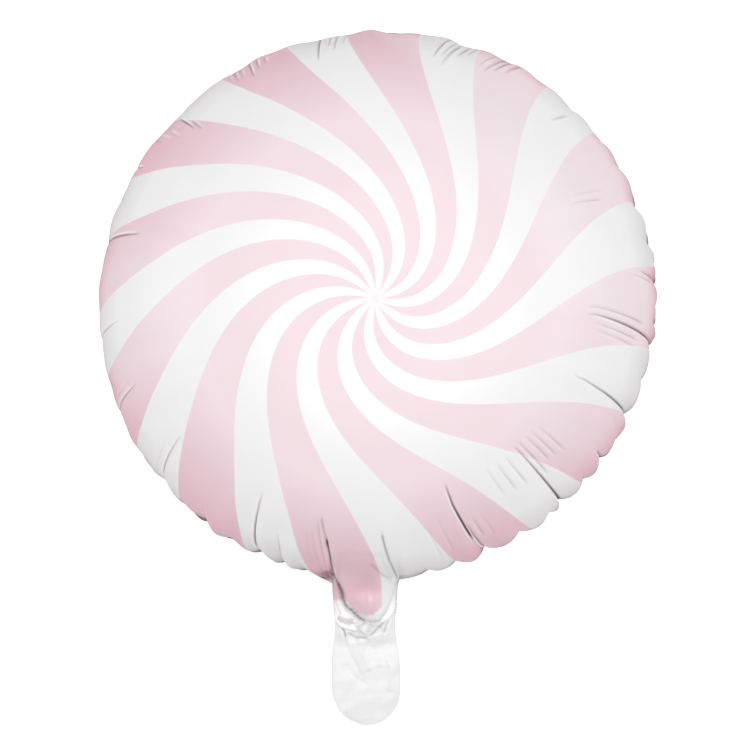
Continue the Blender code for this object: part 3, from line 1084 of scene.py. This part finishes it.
def add_film_surface(tree, shader, roughness):
    """Gloss that is uneven over centimetres, and as a bump the fine crinkle that rolled film keeps."""
    place = add_node(tree, "ShaderNodeTexCoord").outputs["Object"]
    patches = add_node(tree, "ShaderNodeTexNoise", {"Vector": place, "Scale": 1 / PATCH_SIZE})
    gloss = add_node(tree, "ShaderNodeMapRange", (patches.outputs["Fac"], *PATCH_RANGE, *roughness))
    tree.links.new(gloss.outputs[0], shader.inputs["Roughness"])
    fineness = {"Scale": 1 / CRINKLE_SIZE, "Detail": CRINKLE_DETAIL, "Distortion": CRINKLE_DISTORTION}
    crinkle = add_node(tree, "ShaderNodeTexNoise", {"Vector": place, **fineness})
    relief = {"Height": crinkle.outputs["Fac"], "Distance": CRINKLE_HEIGHT}
    tree.links.new(add_node(tree, "ShaderNodeBump", relief).outputs[0], shader.inputs["Normal"])


def printed_film():
    """Nylon film with a metal layer under pastel inks: satin, with soft broad highlights.

    Both inks get painted shade towards the rim, folds get painted shade inside and a painted highlight
    beside them, the pink gets a painted reflection over one side and in two patches, painted light pales the
    neck, and no ink covers the end of the neck, where the milky film shows.
    """
    material, tree, shader = new_material("satin_printed_foil")
    names = ("print_place", "bare_film_and_painted_light", "fold_shade", "fold_edge_highlight")
    place, bare, shade, edge = [add_node(tree, "ShaderNodeAttribute", attribute_name=name) for name in names]
    sheet = place.outputs["Vector"]
    mask, share = swirl_mask(tree, sheet)
    layers = {}
    # The print colours, with painted shade towards the rim
    for name, stops in (("white", WHITE_PRINT_WITH_RIM_SHADE), ("pink", PINK_PRINT_WITH_RIM_SHADE)):
        ramp = add_node(tree, "ShaderNodeValToRGB", (share,))
        set_stops(ramp.color_ramp, stops)
        layers[name] = ramp.outputs[0]
    # Painted reflection: the pink is paled over one side of the sheet and in two patches
    way = add_node(tree, "ShaderNodeVectorMath", (sheet, REFLECTION_WAY), operation="DOT_PRODUCT")
    values = (way.outputs["Value"], *REFLECTION_PLACES, 0.0, REFLECTION_AMOUNT)
    reflection = add_node(tree, "ShaderNodeMapRange", values)
    flat = add_node(tree, "ShaderNodeVectorMath", (sheet, (1, 1, 0)), operation="MULTIPLY")
    for middle, end, full, amount in REFLECTION_PATCHES:
        away = add_node(tree, "ShaderNodeVectorMath", (flat, middle), operation="DISTANCE")
        values = (away.outputs["Value"], end, full, 0.0, amount)
        patch = add_node(tree, "ShaderNodeMapRange", values, interpolation_type="SMOOTHSTEP")
        reflection = add_node(tree, "ShaderNodeMath", (reflection, patch), operation="MAXIMUM")
    values = (share, *REFLECTION_END, 0.0, reflection)
    reflection_share = add_node(tree, "ShaderNodeMapRange", values, interpolation_type="SMOOTHSTEP")
    for name, amount, first, second in (
        ("pink with painted reflection", reflection_share, "pink", linear(REFLECTION_PAINT)),
        ("print", mask, "white", "pink with painted reflection"),
        ("film", bare.outputs["Fac"], "print", linear(BARE_FOIL)),
        ("painted fold shade", mask, linear(WHITE_SHADE), linear(PINK_SHADE)),
        ("film with painted highlight", edge.outputs["Fac"], "film", linear(FOLD_EDGE_HIGHLIGHT)),
        ("shaded film", shade.outputs["Fac"], "film with painted highlight", "painted fold shade"),
    ):
        colours = {MIX_FIRST: layers.get(first, first), MIX_SECOND: layers.get(second, second)}
        layer = add_node(tree, "ShaderNodeMix", {MIX_SHARE: amount, **colours}, data_type="RGBA", label=name)
        layers[name] = layer.outputs[MIX_RESULT]
    tree.links.new(layers["shaded film"], shader.inputs["Base Color"])
    add_film_surface(tree, shader, PRINT_ROUGHNESS)
    shader.inputs["IOR"].default_value = PRINT_IOR
    shader.inputs["Coat Weight"].default_value = PRINT_COAT
    shader.inputs["Coat Roughness"].default_value = PRINT_COAT_ROUGHNESS
    return material


def clear_film():
    """Blown nylon film with nothing printed on it: milky where two layers lie together, and glossy, with
    painted shade in its folds.
    """
    material, tree, shader = new_material("clear_nylon_film")
    # Painted shade in the tail's folds
    shade = add_node(tree, "ShaderNodeAttribute", attribute_name="fold_shade")
    colours = {MIX_FIRST: linear(CLEAR_FILM), MIX_SECOND: linear(WHITE_SHADE)}
    shaded = add_node(tree, "ShaderNodeMix", {MIX_SHARE: shade.outputs["Fac"], **colours}, data_type="RGBA")
    tree.links.new(shaded.outputs[MIX_RESULT], shader.inputs["Base Color"])
    add_film_surface(tree, shader, CLEAR_ROUGHNESS)
    shader.inputs["Alpha"].default_value = CLEAR_ALPHA
    return material


def new_tree(name, numbers):
    """An empty node tree that takes a mesh, named numbers and the film's material, and its inputs."""
    tree = bpy.data.node_groups.new(name, "GeometryNodeTree")
    tree.interface.new_socket("Geometry", in_out="OUTPUT", socket_type="NodeSocketGeometry")
    kinds = {"Geometry": "NodeSocketGeometry", **dict.fromkeys(numbers, "NodeSocketFloat")}
    for label, kind in {**kinds, "Film": "NodeSocketMaterial"}.items():
        tree.interface.new_socket(label, in_out="INPUT", socket_type=kind)
    return tree, add_node(tree, "NodeGroupInput").outputs


def end_tree(tree, geometry, material):
    """Ends a tree: instances made real, and the material set."""
    real = add_node(tree, "GeometryNodeRealizeInstances", {"Geometry": geometry})
    painted = add_node(tree, "GeometryNodeSetMaterial", {"Geometry": real, "Material": material})
    add_node(tree, "NodeGroupOutput", {"Geometry": painted})
    return tree


def run_tree(piece, tree, numbers, film):
    """Gives a piece the plain mesh that a node tree makes of it with these numbers."""
    modifier = piece.modifiers.new(tree.name, "NODES")
    modifier.node_group = tree
    inputs = [item for item in tree.interface.items_tree if item.in_out == "INPUT"]
    for item, value in zip(inputs[1:], (*numbers, film)):
        modifier[item.identifier] = value
    evaluated = piece.evaluated_get(bpy.context.evaluated_depsgraph_get())
    mesh = bpy.data.meshes.new_from_object(evaluated)
    piece.modifiers.remove(modifier)
    mesh.materials.clear()
    mesh.materials.append(film)
    mesh.polygons.foreach_set("material_index", [0] * len(mesh.polygons))
    mesh.shade_smooth()
    piece.data = mesh


def crinkle_tree():
    """Moves film in and out by a slow noise, fading from the rim to the middle of the panel."""
    numbers = ("Height", "Wave length", "Seed", "Smooth share", "Crinkled share")
    tree, given = new_tree("film_crinkle", numbers)
    place = add_node(tree, "GeometryNodeInputPosition")
    scale = add_node(tree, "ShaderNodeMath", (1.0, given["Wave length"]), operation="DIVIDE")
    waves = {"Vector": place, "W": given["Seed"], "Scale": scale}
    noise = add_node(tree, "ShaderNodeTexNoise", waves, noise_dimensions="4D")
    sheet = add_node(
        tree, "GeometryNodeInputNamedAttribute", {"Name": "print_place"}, data_type="FLOAT_VECTOR"
    )
    share = add_node(tree, "ShaderNodeSeparateXYZ", (sheet.outputs["Attribute"],)).outputs[2]
    values = (share, given["Smooth share"], given["Crinkled share"], 0.0, given["Height"])
    amount = add_node(tree, "ShaderNodeMapRange", values, interpolation_type="SMOOTHSTEP")
    rise = add_node(tree, "ShaderNodeMath", (noise.outputs["Fac"], NOISE_MIDDLE), operation="SUBTRACT")
    height = add_node(tree, "ShaderNodeMath", (rise, amount), operation="MULTIPLY")
    normal = add_node(tree, "GeometryNodeInputNormal")
    move = add_node(tree, "ShaderNodeVectorMath", {"Vector": normal, "Scale": height}, operation="SCALE")
    moved = add_node(tree, "GeometryNodeSetPosition", {"Geometry": given["Geometry"], "Offset": move})
    return end_tree(tree, moved, given["Film"])


def rib_tree():
    """Short ribs across a line, one for each pitch of its length, as the hot jaws press them."""
    tree, given = new_tree("weld_ribs", ("Pitch", "Length", "Width", "Height"))
    line = add_node(tree, "GeometryNodeMeshToCurve", {"Mesh": given["Geometry"]})
    level = add_node(tree, "GeometryNodeSetCurveNormal", {"Curve": line}, mode="Z_UP")
    spacing = {"Curve": level, "Length": given["Pitch"]}
    places = add_node(tree, "GeometryNodeCurveToPoints", spacing, mode="LENGTH").outputs
    bead = add_node(
        tree, "GeometryNodeMeshUVSphere", {"Segments": RIB_SEGMENTS, "Rings": RIB_RINGS, "Radius": 0.5}
    )
    size = add_node(tree, "ShaderNodeCombineXYZ", (given["Length"], given["Height"], given["Width"]))
    copies = {"Points": places["Points"], "Instance": bead, "Rotation": places["Rotation"], "Scale": size}
    ribs = add_node(tree, "GeometryNodeInstanceOnPoints", copies)
    return end_tree(tree, ribs, given["Film"])


def add_print_values(piece, prints):
    """What the printed film's material reads at each point of a piece."""
    place = piece.data.attributes.new("print_place", "FLOAT_VECTOR", "POINT")
    place.data.foreach_set("vector", prints[:, :3].astype(np.float32).ravel())
    for column, name in ((3, "bare_film_and_painted_light"), (4, "fold_shade"), (5, "fold_edge_highlight")):
        add_values(piece, name, prints[:, column])


def make_body():
    """The printed body and the ribs pressed into its weld."""
    (points, prints, faces), (ridge, ridge_prints) = body_mesh()
    film = printed_film()
    body = mesh_object("swirl_film_body", points, faces)
    add_print_values(body, prints)
    run_tree(body, crinkle_tree(), (WAVE_HEIGHT, WAVE_LENGTH, WAVE_SEED, *WAVE_SHARES), film)
    edges = [(number, number + 1) for number in range(len(ridge) - 1)]
    ribs = mesh_object("weld_ribs", ridge, [], edges)
    add_print_values(ribs, ridge_prints)
    sizes = (RIB_PITCH, WELD_WIDTH * RIB_SHARE, RIB_WIDTH, 2 * (WELD_HALF_THICKNESS + RIB_RISE))
    run_tree(ribs, rib_tree(), sizes, film)
    return body, ribs


def make_tail():
    points, faces, shade = tail_mesh()
    tail = mesh_object("clear_tail", points, faces)
    add_values(tail, "fold_shade", np.clip(shade, 0, 1))
    tail.data.materials.append(clear_film())
    return tail


def make_floor():
    bpy.ops.mesh.primitive_plane_add(size=FLOOR_SIZE)
    floor = bpy.context.object
    floor.name = "floor"
    board, _, shader = new_material("backlit_white_board")
    shader.inputs["Base Color"].default_value = linear(FLOOR_WHITE)
    shader.inputs["Roughness"].default_value = FLOOR_ROUGHNESS
    shader.inputs["Emission Color"].default_value = (1, 1, 1, 1)
    shader.inputs["Emission Strength"].default_value = FLOOR_GLOW
    floor.data.materials.append(board)


def make_lights():
    """Even white light from all round, and the softboxes."""
    world = bpy.data.worlds.new("studio")
    world.use_nodes = True
    background = world.node_tree.nodes["Background"]
    background.inputs["Color"].default_value = (1, 1, 1, 1)
    background.inputs["Strength"].default_value = SKY_STRENGTH
    bpy.context.scene.world = world
    for name, place, size, power in SOFTBOXES:
        light = bpy.data.lights.new(name, "AREA")
        light.shape = "SQUARE"
        light.size = size
        light.energy = power
        softbox = new_object(name, light)
        softbox.location = place
        way = Vector(SOFTBOX_TARGET) - Vector(place)
        softbox.rotation_euler = way.to_track_quat("-Z", "Y").to_euler()


def make_camera():
    lens = bpy.data.cameras.new("camera")
    lens.sensor_width = SENSOR_WIDTH
    lens.lens = SENSOR_WIDTH * VIEW_DISTANCE / VIEW_WIDTH
    lens.clip_end = FARTHEST_SEEN
    camera = new_object("camera", lens)
    camera.location = (*VIEW_CENTRE, RIM_LEVEL + VIEW_DISTANCE)
    bpy.context.scene.camera = camera


def main():
    for obj in list(bpy.data.objects):
        bpy.data.objects.remove(obj)
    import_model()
    body, ribs = make_body()
    tail = make_tail()
    for piece, slot in ((body, "printed_film"), (ribs, "printed_film"), (tail, "clear_film")):
        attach(piece, "root")
    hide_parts("envelope")
    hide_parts("tail")
    make_floor()
    make_lights()
    make_camera()
    bpy.context.scene.view_settings.view_transform = "Standard"


main()
